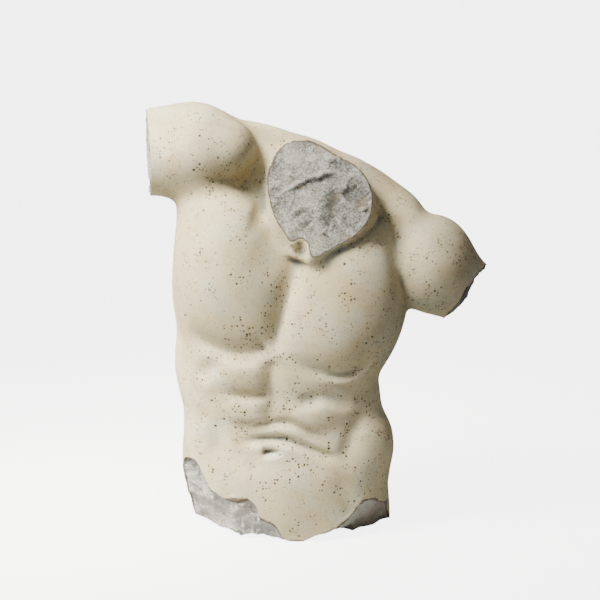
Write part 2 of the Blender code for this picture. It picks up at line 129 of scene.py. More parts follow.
# Line of the shoulders seen from the front (x, z), rounded from front to back
SHOULDER_LINE = np.array((
    (-32.2, 95.6), (-17.2, 96.3), (-10.3, 95.6), (-3.4, 94.1), (3.3, 91.4), (9.3, 89.2),
    (15.1, 87.2), (19.0, 85.2), (22.8, 83.2), (26.0, 81.2), (28.6, 78.7), (31.2, 75.4), (35.1, 69.5),
))
SHOULDER_ROUND = 25.7
SHOULDER_MIDDLE = 3.3
SHOULDER_BLEND = 2.3

# Carving: strokes are (name, kind, points (x, z), height, width, fade at both ends);
# a fold is a sharp groove, gentle on the left of its travel and steep on the right,
# and a lip stands proud on the left
FRONT_STROKES = (
    (
        "valley of the breastbone", "fold",
        ((-3.9, 43.5), (-3.2, 47.5), (-2.0, 52.5), (-0.5, 57.5), (1.1, 62.0), (2.4, 65.8)),
        -1.7, 2.5, (0.25, 0.05),
    ),
    (
        "edge of the raised shoulder", "line",
        ((-22.5, 83.2), (-17.0, 83.2), (-12.0, 84.0), (-9.2, 86.6), (-8.2, 90.5)),
        -0.6, 1.3, (0.4, 0.4),
    ),
    (
        "edge of the low shoulder", "line",
        ((21.8, 70.5), (22.6, 67.5), (23.4, 64.3), (24.6, 61.0), (26.2, 58.3), (28.0, 55.5)),
        -0.5, 1.5, (0.35, 0.3),
    ),
    (
        "crease under the neck", "line",
        ((21.3, 80.5), (21.4, 75.5), (19.0, 72.2), (14.5, 69.4), (8.5, 67.0), (5.0, 65.6)),
        -0.9, 1.1, (0.35, 0.3),
    ),
    (
        "edge of the left breast", "fold",
        ((-23.0, 53.0), (-21.0, 48.6), (-17.5, 45.9), (-12.0, 44.7), (-7.5, 45.0), (-4.6, 46.5)),
        -1.2, 2.6, (0.4, 0.1),
    ),
    (
        "edge of the right breast", "fold",
        ((0.5, 44.8), (3.0, 42.2), (6.0, 40.3), (10.0, 39.3), (13.5, 39.5), (16.5, 41.4),
         (19.0, 44.8), (20.8, 49.0)),
        -1.2, 2.4, (0.3, 0.35),
    ),
    (
        "rim under the right breast", "line",
        ((3.5, 40.7), (9.5, 37.9), (14.5, 38.3), (18.0, 41.6), (21.0, 47.0)),
        0.7, 1.0, (0.3, 0.35),
    ),
    (
        "white line of the belly", "fold",
        ((-4.9, 28.3), (-4.1, 33.5), (-4.2, 39.0), (-4.0, 44.0)),
        -1.0, 2.4, (0.15, 0.2),
    ),
    (
        "crease between belly blocks", "line",
        ((-15.5, 34.8), (-10.5, 34.6), (-5.0, 34.8)),
        -0.7, 1.1, (0.45, 0.1),
    ),
    (
        "hollow under the left ribs", "line",
        ((-21.0, 37.5), (-18.5, 39.8), (-14.5, 43.2)),
        -0.7, 2.2, (0.35, 0.4),
    ),
    (
        "ridge beside the left ribs", "line",
        ((-19.5, 33.0), (-18.0, 37.0), (-15.0, 40.8)),
        0.4, 2.0, (0.4, 0.4),
    ),
    (
        "upper fold", "fold",
        ((11.0, 24.6), (6.5, 25.4), (3.0, 26.9), (-0.5, 28.2), (-4.5, 28.0), (-9.0, 27.2),
         (-14.0, 26.8)),
        -1.1, 1.6, (0.3, 0.35),
    ),
    (
        "swell under the upper fold", "line",
        ((-12.0, 25.6), (-4.0, 26.6), (0.5, 26.4), (7.0, 23.9)),
        0.35, 1.2, (0.3, 0.3),
    ),
    (
        "lower fold", "fold",
        ((12.3, 19.5), (9.0, 20.2), (4.0, 22.3), (-1.0, 24.1), (-4.5, 24.4), (-9.0, 23.9),
         (-13.0, 22.7)),
        -1.3, 1.3, (0.25, 0.3),
    ),
    (
        "swell under the lower fold", "line",
        ((-12.0, 21.3), (-3.5, 22.9), (6.5, 20.2)),
        0.35, 1.2, (0.3, 0.3),
    ),
    (
        "edge of the right flank", "line",
        ((11.5, 17.5), (13.2, 22.0), (15.0, 26.8), (19.0, 31.5)),
        -1.0, 1.7, (0.35, 0.4),
    ),
    (
        "edge of the left flank", "line",
        ((-18.0, 17.5), (-16.5, 23.5), (-16.2, 31.0)),
        -0.6, 1.9, (0.4, 0.4),
    ),
    ("navel", "line", ((-6.6, 20.9), (-4.2, 21.2), (-0.4, 21.2)), -2.1, 0.7, (0.25, 0.6)),
    ("brow of the navel", "lip", ((0.1, 22.0), (-3.4, 22.0), (-7.2, 21.5)), 0.6, 0.6, (0.3, 0.3)),
    ("groin line", "line", ((9.0, 17.0), (12.5, 11.0), (14.5, 5.0)), -0.6, 2.0, (0.4, 0.1)),
)
BACK_STROKES = (
    ("spine", "line", ((3.5, 5.0), (2.0, 33.0), (3.5, 63.0), (7.0, 88.0)), -1.9, 2.3, (0.12, 0.25)),
    ("left spine muscle", "line", ((-3.0, 7.0), (-3.5, 28.0), (-2.5, 50.0)), 1.4, 3.5, (0.25, 0.4)),
    ("right spine muscle", "line", ((9.5, 7.0), (8.0, 28.0), (7.0, 50.0)), 1.4, 3.5, (0.25, 0.4)),
    (
        "inner edge of the left blade", "line",
        ((-4.0, 61.0), (-5.0, 70.0), (-8.0, 79.0)),
        -0.9, 2.3, (0.35, 0.35),
    ),
    (
        "inner edge of the right blade", "line",
        ((11.0, 52.5), (12.0, 61.0), (13.5, 70.0)),
        -0.9, 2.3, (0.35, 0.35),
    ),
    (
        "ridge of the left blade", "line",
        ((-7.0, 77.0), (-14.5, 82.0), (-22.5, 87.0)),
        0.9, 2.3, (0.35, 0.35),
    ),
    (
        "ridge of the right blade", "line",
        ((14.5, 70.0), (21.5, 69.0), (30.0, 64.5)),
        0.9, 2.3, (0.35, 0.35),
    ),
    (
        "left broad muscle", "line",
        ((-1.0, 28.0), (-8.5, 38.5), (-17.0, 50.0)),
        -0.6, 2.8, (0.35, 0.35),
    ),
    (
        "right broad muscle", "line",
        ((5.5, 28.0), (12.5, 37.5), (20.5, 48.0)),
        -0.6, 2.8, (0.35, 0.35),
    ),
    ("cleft", "line", ((3.5, -1.5), (3.5, 7.0), (3.5, 12.0)), -1.6, 2.0, (0.0, 0.5)),
)
# Swells are (name, middle (x, z), half sizes, turn in degrees, height)
FRONT_SWELLS = (
    ("upper belly block", (-10.0, 39.0), (6.0, 4.2), 0, 1.4),
    ("lower belly block", (-10.0, 31.2), (6.2, 3.2), 0, 1.3),
    ("right belly block", (2.2, 37.0), (5.5, 4.5), 0, 0.7),
    ("end of the oblique", (6.5, 30.3), (7.0, 3.6), 8, 1.4),
    ("hollow over the oblique", (4.6, 33.4), (2.4, 1.7), 0, -0.9),
    ("hollow beside the oblique", (10.5, 33.0), (3.2, 1.3), -25, -0.9),
    ("right flank", (20.5, 21.5), (4.2, 6.5), -14, 0.9),
    ("left flank", (-21.5, 24.0), (4.2, 7.0), 8, 0.7),
    ("lower belly", (-3.0, 11.5), (11.5, 9.0), 0, 0.9),
    ("hollow beside the neck", (-7.4, 74.6), (1.5, 3.0), -12, -0.5),
)
BACK_SWELLS = (
    ("left blade", (-11.0, 70.0), (8.0, 10.5), 20, 1.9),
    ("right blade", (18.5, 61.0), (8.0, 10.0), -14, 1.9),
    ("left buttock", (-8.0, 3.5), (11.0, 10.5), 0, 2.6),
    ("right buttock", (14.5, 3.5), (10.0, 10.0), 0, 2.6),
    ("left dimple", (-1.5, 15.5), (2.2, 2.0), 0, -0.5),
    ("right dimple", (8.0, 15.5), (2.2, 2.0), 0, -0.5),
)

# Breaks: a point on the face, its outward normal, radius of the part taken off
BREAKS = (
    ("neck break", (7.3, -9.0, 80.0), (-0.05, -0.86, 0.50), 16.0),
    ("raised arm break", (-32.5, 0.0, 88.9), (-0.985, -0.15, -0.03), 14.0),
    ("raised arm corner", (-32.3, 0.0, 98.5), (-0.62, 0.05, 0.78), 12.0),
    ("low arm end", (43.3, 0.0, 58.4), (0.80, -0.26, -0.50), 16.0),
    ("low arm tip", (64.5, 0.0, 80.7), (0.68, -0.22, -0.68), 30.0),
    ("low arm break", (35.3, 0.0, 41.1), (0.88, -0.26, -0.37), 20.0),
    ("low arm edge", (39.1, 0.0, 52.4), (0.67, -0.26, -0.68), 12.0),
    ("left foot chip", (-20.9, -8.5, 13.9), (-0.75, -0.55, -0.37), 22.0),
    ("front foot chip", (-17.5, -11.6, 5.0), (-0.21, -0.94, -0.26), 10.4),
    ("low front chip", (-4.0, -15.1, 2.9), (-0.40, -0.69, -0.60), 4.6),
    ("right foot chip", (17.5, -10.2, 6.0), (0.61, -0.62, -0.49), 16.0),
    ("chip under the left foot", (-11.5, -12.0, 1.2), (-0.14, -0.26, -0.95), 16.0),
    ("chip under the right foot", (8.5, -11.0, 0.6), (0.35, -0.33, -0.88), 6.5),
)

# Charts of the carving: spacing, lowest x and z, and number of columns and rows
CHART_STEP = 0.25
CHART_LOW = (-34.0, -3.0)
CHART_SIZE = (300, 420)
# Points worked out along a stroke's smooth line
LINE_POINTS = 22
# Each side's carving fades out over this depth, from this far past the middle
SIDE_FADE = 5.6
SIDE_PAST = 0.9

# Features of the neck's broken face, in its own plane: right and up from the middle
NECK_LEDGES = (
    (
        "long ledge", "lip",
        ((-10.3, -0.2), (-7.5, 1.2), (-5.3, 2.3), (-2.8, 3.8), (-0.3, 4.0), (1.7, 4.8), (4.7, 4.5)),
        0.9, 0.3, (0.3, 0.2),
    ),
    (
        "hollow under the ledge", "line",
        ((-6.5, 1.0), (-2.8, 3.0), (2.0, 4.0)),
        -0.25, 0.4, (0.3, 0.3),
    ),
    (
        "valley", "fold",
        ((-1.0, -8.7), (0.9, -6.4), (2.1, -2.3), (2.9, 1.8)),
        -0.8, 2.2, (0.3, 0.15),
    ),
    ("short gouge", "line", ((5.5, -0.3), (6.7, 1.4)), -0.5, 0.4, (0.3, 0.3)),
    ("long gouge", "line", ((6.5, -0.2), (7.9, 2.1)), -0.5, 0.4, (0.3, 0.3)),
    (
        "seam to the notch", "line",
        ((-8.0, -6.5), (-5.0, -4.0), (-2.0, -3.2)),
        -0.4, 0.5, (0.3, 0.3),
    ),
)
NECK_RIGHT = (1.0, 0.0, 0.06)

# Stone relief: size of the grain and its height, coarse to fine, in mm
STONE_GRAIN_MM = ((17.0, 1.5), (6.5, 0.6), (2.2, 0.55))
STONE_FADE_MM = 1.6
# Stone is lowered by this under its break's plane, in mm
STONE_DROP_MM = 0.6
# Points this near the floor belong to the flat foot, in mm
FOOT_MM = 0.3
# Wander of the foot chips' planes: height, size, top of the chips and fade below it
CHIP_WANDER = 0.9
CHIP_WANDER_SIZE = 4.0
CHIPS_TOP = 26
CHIPS_FADE = 4

# Rounds of smoothing: for the stone's normals, and to find hollows
NORMAL_ROUNDS = 3
HOLLOW_ROUNDS = 13

# Pores of the cast skin; openings, slide and floor are shares of their quad or opening
PORE_CLUSTERS = 700
PORE_CLUSTER_MM = (3.0, 11.0)
PORE_SHARE_IN_CLUSTER = 0.23
PORE_SHARE_LOOSE = 0.016
PORE_BIG_SHARE = 0.03
PORE_SPREAD = 0.12
PORE_OPENING = (0.35, 0.7)
PORE_SLIDE = 0.4
PORE_WOBBLE = (0.7, 1.25)
PORE_WIDEST = 0.95
PORE_BIG_OPENING = 0.75
PORE_FLOOR = 0.6
PORE_DEPTH_MM = (0.6, 1.6)
PORE_FROM_RIM_MM = 1.0
PORE_FROM_FOOT_MM = 3


def unit(vector):
    """The vector divided by its own length."""
    vector = np.asarray(vector, float)
    return vector / np.linalg.norm(vector)


def join_soft(a, b, blend):
    """Union of two distances with a fillet of the given width."""
    near = np.maximum(blend - np.abs(a - b), 0) / blend
    return np.minimum(a, b) - near * near * blend / 4


def meet_soft(a, b, blend):
    """Common part of two distances with a rounded edge."""
    return -join_soft(-a, -b, blend)


def between_rows(rows, key):
    """Smooth curve through rows sorted by their first column."""
    keys, values = rows[:, 0], rows[:, 1:]
    slopes = np.gradient(values, keys, axis=0)
    key = np.clip(key, keys[0], keys[-1])
    i = np.clip(np.searchsorted(keys, key) - 1, 0, len(keys) - 2)
    span = (keys[i + 1] - keys[i])[..., None]
    t = (key - keys[i])[..., None] / span
    return (
        (2 * t**3 - 3 * t**2 + 1) * values[i]
        + (t**3 - 2 * t**2 + t) * span * slopes[i]
        + (3 * t**2 - 2 * t**3) * values[i + 1]
        + (t**3 - t**2) * span * slopes[i + 1]
    )


def ball(points, mass):
    """Distance to an ellipsoid that leans in the x-z plane, near its surface.

    With k the length of p / radii: k (k - 1) over the length of p / radii^2."""
    _, centre, radii, lean, _ = mass
    c, s = math.cos(math.radians(lean)), math.sin(math.radians(lean))
    d = points - np.array(centre)
    d = np.stack((c * d[:, 0] - s * d[:, 2], d[:, 1], s * d[:, 0] + c * d[:, 2]), -1)
    radii = np.array(radii)
    reach = np.linalg.norm(d / radii, axis=1) + 1e-9
    return reach * (reach - 1) / (np.linalg.norm(d / radii**2, axis=1) + 1e-9)


def limb(points, mass):
    """Distance to a round bar whose radius runs from one end to the other."""
    _, start, end, (r0, r1), _ = mass
    start, axis = np.array(start), np.array(end) - np.array(start)
    share = np.clip((points - start) @ axis / (axis @ axis), 0, 1)
    return np.linalg.norm(points - start - share[:, None] * axis, axis=1) - r0 - (r1 - r0) * share


def trunk(points):
    """Distance to the lofted trunk, whose rings are superellipses."""
    x, y, half_x, half_y, power = between_rows(TRUNK, points[:, 2]).T
    dx, dy = points[:, 0] - x, points[:, 1] - y
    reach = (np.abs(dx / half_x) ** power + np.abs(dy / half_y) ** power) ** (1 / power) + 1e-9
    return np.hypot(dx, dy) * (1 - 1 / reach)


def over_shoulders(points):
    """Height over the shoulder line, which drops to the front and the back."""
    line = between_rows(SHOULDER_LINE, points[:, 0])[:, 0]
    return 0.8 * (points[:, 2] - line + (points[:, 1] - SHOULDER_MIDDLE) ** 2 / SHOULDER_ROUND)


def smoothstep(t):
    """Smooth rise from 0 to 1 as t does: 3 t^2 - 2 t^3, level at both ends."""
    t = np.clip(t, 0, 1)
    return t * t * (3 - 2 * t)


def stroke_height(chart, stroke):
    """Height of one carved stroke over the chart's points.

    A bell curve of the distance to the line, drawn through its points and faded at both
    ends: exp(-(distance / width)^2), steeper on one side for a fold, and for a lip the
    hyperbolic tangent of the distance, up on its left and down on its right."""
    _, kind, points, height, width, fades = stroke
    points = np.column_stack((np.arange(len(points)), points))
    line = between_rows(points, np.linspace(0, len(points) - 1, LINE_POINTS))
    reach = width * (10 if kind == "lip" else 3)
    near = np.all((chart > line.min(0) - reach) & (chart < line.max(0) + reach), axis=-1)
    q = chart[near]
    closest = np.full(len(q), 1e9)
    along = np.zeros(len(q))
    side = np.ones(len(q))
    for number, (a, b) in enumerate(zip(line[:-1], line[1:])):
        step = b - a
        share = np.clip((q - a) @ step / (step @ step), 0, 1)
        off = q - a - share[:, None] * step
        distance = np.linalg.norm(off, axis=1)
        nearer = distance < closest
        closest[nearer] = distance[nearer]
        along[nearer] = (number + share[nearer]) / (len(line) - 1)
        side[nearer] = np.where(step[0] * off[nearer, 1] >= step[1] * off[nearer, 0], 1, -1)
    if kind == "fold":
        shape = np.exp(-((closest / (width * np.where(side > 0, 1, 0.7))) ** 1.7))
    elif kind == "lip":
        shape = np.tanh(side * closest / width) / 2 * np.exp(-((closest / (5 * width)) ** 2))
    else:
        shape = np.exp(-((closest / width) ** 2))
    for share, fade in zip((along, 1 - along), fades):
        if fade:
            shape = shape * smoothstep(share / fade)
    out = np.zeros(chart.shape[:-1])
    out[near] = height * shape
    return out


def swell_height(chart, swell):
    """Height of one rounded swell or hollow over the chart's points.

    A flat-topped bell over the turned ellipse: exp(-(across^2.5 + up^2.5)^1.2)."""
    _, middle, halves, turn, height = swell
    c, s = math.cos(math.radians(turn)), math.sin(math.radians(turn))
    d = chart - np.array(middle)
    across = np.abs(c * d[..., 0] + s * d[..., 1]) / halves[0]
    up = np.abs(c * d[..., 1] - s * d[..., 0]) / halves[1]
    return height * np.exp(-((across**2.5 + up**2.5) ** 1.2))


def carve_chart(strokes, swells):
    """Height chart of one side's carving over x and z."""
    axes = [low + CHART_STEP * np.arange(size) for low, size in zip(CHART_LOW, CHART_SIZE)]
    chart = np.stack(np.meshgrid(*axes), -1)
    carving = sum(stroke_height(chart, stroke) for stroke in strokes)
    return carving + sum(swell_height(chart, swell) for swell in swells)


def read_chart(heights, points):
    """Chart height at the points, between its four nearest values."""
    spots = (points[:, [0, 2]] - CHART_LOW) / CHART_STEP
    spots = np.clip(spots, 0, np.array(CHART_SIZE) - 1.001)
    i, j = spots.astype(int).T
    a, b = (spots - spots.astype(int)).T
    lower = heights[j, i] * (1 - a) + heights[j, i + 1] * a
    upper = heights[j + 1, i] * (1 - a) + heights[j + 1, i + 1] * a
    return lower * (1 - b) + upper * b


def body(points, front, back):
    """Distance to the whole body before it was broken; negative inside."""
    f = trunk(points)
    for mass in GIRDLE:
        f = join_soft(f, limb(points, mass), mass[-1])
    f = meet_soft(f, over_shoulders(points), SHOULDER_BLEND)
    for mass in BREASTS:
        f = join_soft(f, ball(points, mass), mass[-1])
    f = join_soft(f, limb(points, TENDON), TENDON[-1])
    for mass in NECK:
        f = join_soft(f, limb(points, mass), mass[-1])
    for mass in SHOULDERS:
        f = join_soft(f, ball(points, mass), mass[-1])
    for mass in ARMS:
        f = join_soft(f, limb(points, mass), mass[-1])
    for hollow in HOLLOWS:
        f = meet_soft(f, -ball(points, hollow), hollow[-1])
    f = f - read_chart(front, points) * np.clip((SIDE_PAST - points[:, 1]) / SIDE_FADE, 0, 1)
    f = f - read_chart(back, points) * np.clip((points[:, 1] + SIDE_PAST) / SIDE_FADE, 0, 1)
    return np.maximum(f, TRUNK_FLOOR - points[:, 2])


def removed(points):
    """How deep each point lies in the parts broken off or under the foot; positive there."""
    deepest = -points[:, 2]
    at_foot = smoothstep((CHIPS_TOP - points[:, 2]) / CHIPS_FADE)
    wander = CHIP_WANDER * soft_noise(points / CHIP_WANDER_SIZE, SEED) * at_foot
    for _, face, normal, radius in BREAKS:
        d = points - np.array(face)
        beyond = d @ unit(normal)
        aside = np.linalg.norm(d - beyond[:, None] * unit(normal), axis=1)
        deepest = np.maximum(deepest, np.minimum(beyond, radius - aside) + wander)
    return deepest


def slope_of(distance, points, step=0.08):
    """Gradient of a distance function by central differences."""
    return np.stack([
        (distance(points + step * axis) - distance(points - step * axis)) / (2 * step) for axis in np.eye(3)
    ], -1)


def draw_onto(distance, points, passes):
    """Newton steps down the slope: p - f(p) grad f / |grad f|^2."""
    for _ in range(passes):
        slope = slope_of(distance, points)
        steep = np.maximum((slope**2).sum(1), 0.2)
        points = points - np.clip(distance(points) / steep, -1.5, 1.5)[:, None] * slope
    return points


def skin_of(node):
    """Even quads over a copy of the node, as arrays of points and corners."""
    mesh = node.data.copy()
    blank = bpy.data.objects.new("blank", mesh)
    bpy.context.scene.collection.objects.link(blank)
    weld = blank.modifiers.new("merge", "WELD")
    weld.merge_threshold = 0.00001
    skin = blank.modifiers.new("skin", "REMESH")
    skin.mode = "VOXEL"
    skin.voxel_size = SKIN_MM / 1000
    shape = blank.evaluated_get(bpy.context.evaluated_depsgraph_get()).to_mesh()
    points = np.empty(len(shape.vertices) * 3)
    shape.vertices.foreach_get("co", points)
    quads = np.empty(len(shape.loops), int)
    shape.loops.foreach_get("vertex_index", quads)
    bpy.data.objects.remove(blank)
    return points.reshape(-1, 3) / PERCENT, quads.reshape(-1, 4)


def normals_of(points, quads):
    """Vertex normals: the sum of the cross products of each quad's diagonals."""
    a, b, c, d = (points[quads[:, i]] for i in range(4))
    face = np.cross(c - a, d - b)
    total = np.stack([
        np.bincount(quads.ravel(), np.repeat(face[:, i], 4), len(points)) for i in range(3)
    ], -1)
    return total / (np.linalg.norm(total, axis=1)[:, None] + 1e-12)


def relaxed(values, quads, rounds):
    """Each vertex's values averaged with its neighbours' along the quads' edges."""
    ends = np.concatenate([quads[:, [i, (i + 1) % 4]] for i in range(4)])
    start, end = np.concatenate((ends, ends[:, ::-1])).T
    count = np.bincount(start, minlength=len(values))
    for _ in range(rounds):
        mean = np.stack([np.bincount(start, column[end], len(values)) for column in values.T], -1)
        values = values / 2 + mean / (2 * count[:, None])
    return values


def cell_numbers(cells, seed):
    """A repeatable number from 0 to 1 for every whole-number cell."""
    h = (cells * np.array((73856093, 19349663, 83492791))).sum(-1) + seed * 2654435
    h = (h ^ (h >> 13)) * 1274126177
    return ((h ^ (h >> 16)) & 0xFFFFFF) / 0xFFFFFF


def soft_noise(points, seed):
    """Value noise from -1 to 1: smooth blends between random corners of unit cells."""
    cells = np.floor(points).astype(np.int64)
    t = points - cells
    t = t * t * (3 - 2 * t)
    total = np.zeros(len(points))
    for corner in np.ndindex(2, 2, 2):
        weight = np.prod(np.where(corner, t, 1 - t), axis=-1)
        total += weight * cell_numbers(cells + np.array(corner), seed)
    return 2 * total - 1


def facets(points, seed):
    """Broken facets: each point takes the tilt and height of its nearest jittered cell middle."""
    cells = np.floor(points).astype(np.int64)
    nearest = np.full(len(points), 1e9)
    height = np.zeros(len(points))
    for shift in np.ndindex(3, 3, 3):
        cell = cells + np.array(shift) - 1
        middle = cell + np.stack([cell_numbers(cell, seed + i) for i in range(3)], -1)
        tilt = np.stack([cell_numbers(cell, seed + 3 + i) for i in range(3)], -1) - 0.5
        away = points - middle
        gap = (away**2).sum(-1)
        plane = 1.6 * (away * tilt).sum(-1) + cell_numbers(cell, seed + 6) - 0.5
        height = np.where(gap < nearest, plane, height)
        nearest = np.minimum(gap, nearest)
    return height


def stone_relief(points):
    """Height of the broken stone in mm: facets and soft noise of several grains."""
    total = np.zeros(len(points))
    for number, (grain, height) in enumerate(STONE_GRAIN_MM):
        warped = points / (grain * MM)
        warped = warped + 0.35 * soft_noise(warped * 1.7, SEED + number)[:, None]
        broken = facets(warped, SEED * 10 + number)
        total += height * (broken + 0.5 * soft_noise(warped * 2.3, SEED + 20 + number))
    return total


def neck_ledges(points):
    """Height in percent of the ledges on the neck's face, drawn in its own plane."""
    _, face, normal, radius = BREAKS[0]
    right = unit(NECK_RIGHT)
    up = np.cross(unit(normal), right)
    d = points - np.array(face)
    flat = np.stack((d @ right, d @ up), -1)
    on_face = (np.abs(d @ unit(normal)) < 0.5) & (np.linalg.norm(flat, axis=1) < radius)
    height = np.zeros(len(points))
    height[on_face] = sum(stroke_height(flat[on_face], stroke) for stroke in NECK_LEDGES)
    return height


def carve_skin(points, charts):
    """Draw the skin onto the broken body and return it with its distance from the rims in mm.

    The stone value is positive on a broken face, where it is the depth under the lost
    skin, and negative on the skin, where it is the distance to the break's plane."""
    whole = lambda p: body(p, *charts)
    broken = lambda p: np.maximum(whole(p), removed(p))
    points = draw_onto(broken, points, 4)
    close = 0.5 * SKIN_MM * MM
    on_rim = (np.abs(whole(points)) < close) & (np.abs(removed(points)) < close)
    for _ in range(3):
        points[on_rim] = draw_onto(whole, points[on_rim], 1)
        points[on_rim] = draw_onto(removed, points[on_rim], 1)
    under_skin, past_break = -whole(points), removed(points)
    stone = np.where(under_skin > -past_break, under_skin, past_break) / MM
    foot = points[:, 2] < FOOT_MM * MM
    stone[foot] = np.minimum(stone[foot], -2.0)
    return points, stone


def roughen(points, quads, stone):
    """Move the broken faces along their normals by the stone's relief, which fades at the rims."""
    rough = smoothstep(stone / STONE_FADE_MM) * smoothstep(points[:, 2] / (2 * MM))
    chosen = rough > 0
    normals = relaxed(normals_of(points, quads), quads, NORMAL_ROUNDS)
    relief = np.zeros(len(points))
    relief[chosen] = stone_relief(points[chosen]) + neck_ledges(points[chosen]) / MM - STONE_DROP_MM
    relief *= rough
    return points + (relief * MM)[:, None] * normals, relief


def hollowness(points, quads, rounds):
    """How far in mm the surface lies behind its own smoothed self; positive in hollows."""
    return ((relaxed(points, quads, rounds) - points) * normals_of(points, quads)).sum(1) / MM


def split_quads(points, quads, chosen, values):
    """Cut each chosen quad into four at the middles of its edges and its own middle.

    A neighbour that is not chosen takes the new middles into its outline, so that the
    surface stays closed. Returns the points, the quads, those wider faces and the values."""
    sides = np.sort(np.stack((quads, np.roll(quads, -1, 1)), -1), -1)
    edges, side_of = np.unique(sides.reshape(-1, 2), axis=0, return_inverse=True)
    side_of = side_of.reshape(-1, 4)
    split = np.zeros(len(edges), bool)
    split[side_of[chosen].ravel()] = True
    number = np.full(len(edges), -1)
    number[split] = len(points) + np.arange(split.sum())
    centre = len(points) + split.sum() + np.arange(chosen.sum())
    halves = number[side_of]
    own, own_halves = quads[chosen], halves[chosen]
    fours = np.concatenate([
        np.stack((own[:, i], own_halves[:, i], centre, own_halves[:, i - 1]), -1) for i in range(4)
    ])
    beside = ~chosen & (halves >= 0).any(1)
    outlines = np.stack((quads[beside], halves[beside]), -1).reshape(-1, 8)
    wide = [line[line >= 0].tolist() for line in outlines]
    points = np.concatenate((points, points[edges[split]].mean(1), points[own].mean(1)))
    values = {
        name: np.concatenate((value, value[edges[split]].mean(1), value[own].mean(1)))
        for name, value in values.items()
    }
    return points, np.concatenate((quads[~chosen & ~beside], fours)), wide, values


def fan_of(wide):
    """Wide faces as quads from their first corner, the last one closed by its own corner."""
    return np.array([
        (face[0], face[i], face[i + 1], face[min(i + 2, len(face) - 1)])
        for face in wide for i in range(1, len(face) - 1, 2)
    ]).reshape(-1, 4)


def choose_pores(points, quads, stone, random):
    """Quads that become pores: dense in clusters, loose elsewhere, none on stone, rim or foot."""
    middles = points[quads].mean(1)
    free = (stone[quads].max(1) < -PORE_FROM_RIM_MM) & (middles[:, 2] > PORE_FROM_FOOT_MM * MM)
    seeds = middles[random.choice(np.flatnonzero(free), PORE_CLUSTERS, replace=False)]
    reach = random.uniform(*PORE_CLUSTER_MM, PORE_CLUSTERS) * MM
    share = np.full(len(quads), PORE_SHARE_LOOSE)
    for seed, radius in zip(seeds, reach):
        near = np.linalg.norm(middles - seed, axis=1)
        share = np.maximum(share, PORE_SHARE_IN_CLUSTER * (near < radius) * (1.4 - near / radius))
    return np.flatnonzero(free & (random.random(len(quads)) < share))


def sink_pores(points, quads, chosen, random):
    """Turn each chosen quad into a pore: a rim, walls and a floor pushed in along its normal.

    A large pore first spreads its quad's corners. Returns the new points, the new quads
    and how deep in a pore each point is, 0 to 1."""
    big = random.random(len(chosen)) < PORE_BIG_SHARE
    spread = quads[chosen[big]]
    middle = points[spread].mean(1, keepdims=True)
    points[spread.ravel()] += (PORE_SPREAD * (points[spread] - middle)).reshape(-1, 3)
    corners = points[quads[chosen]]
    middle = corners.mean(1, keepdims=True)
    normal = np.cross(corners[:, 2] - corners[:, 0], corners[:, 3] - corners[:, 1])
    normal /= np.linalg.norm(normal, axis=1)[:, None] + 1e-12
    opening = np.where(big, PORE_BIG_OPENING, random.uniform(*PORE_OPENING, len(chosen)))
    depth = np.where(big, PORE_DEPTH_MM[1], random.uniform(*PORE_DEPTH_MM, len(chosen))) * MM
    wobble = random.uniform(*PORE_WOBBLE, (len(chosen), 4, 1))
    rim = middle + (corners - middle) * np.minimum(opening[:, None, None] * wobble, PORE_WIDEST)
    slide = random.uniform(-PORE_SLIDE, PORE_SLIDE, (len(chosen), 2)) * (1 - opening)[:, None]
    rim += (slide[:, :1] * (corners[:, 1] - corners[:, 0]))[:, None]
    rim += (slide[:, 1:] * (corners[:, 3] - corners[:, 0]))[:, None]
    middle = rim.mean(1, keepdims=True)
    floor = middle + (rim - middle) * PORE_FLOOR - (depth[:, None] * normal)[:, None]
    first = len(points)
    rims = first + np.arange(len(chosen) * 4).reshape(-1, 4)
    floors = rims + len(chosen) * 4
    outer = quads[chosen]
    rings = []
    for i in range(4):
        j = (i + 1) % 4
        rings.append(np.stack((outer[:, i], outer[:, j], rims[:, j], rims[:, i]), -1))
        rings.append(np.stack((rims[:, i], rims[:, j], floors[:, j], floors[:, i]), -1))
    kept = np.delete(quads, chosen, axis=0)
    # The pore value, 0.4 on the rim and 1 on the floor, is what the material paints dark as painted shade
    inside = np.concatenate((np.zeros(first), np.full(rims.size, 0.4), np.ones(floors.size)))
    points = np.concatenate((points, rim.reshape(-1, 3), floor.reshape(-1, 3)))
    return points, np.concatenate([kept] + rings + [floors]), inside


def carried(values, quads, chosen):
    """A vertex attribute for the skin with its pores: their new points take the quad's mean."""
    mean = np.repeat(values[quads[chosen]].mean(1), 4)
    return np.concatenate((values, mean, mean))


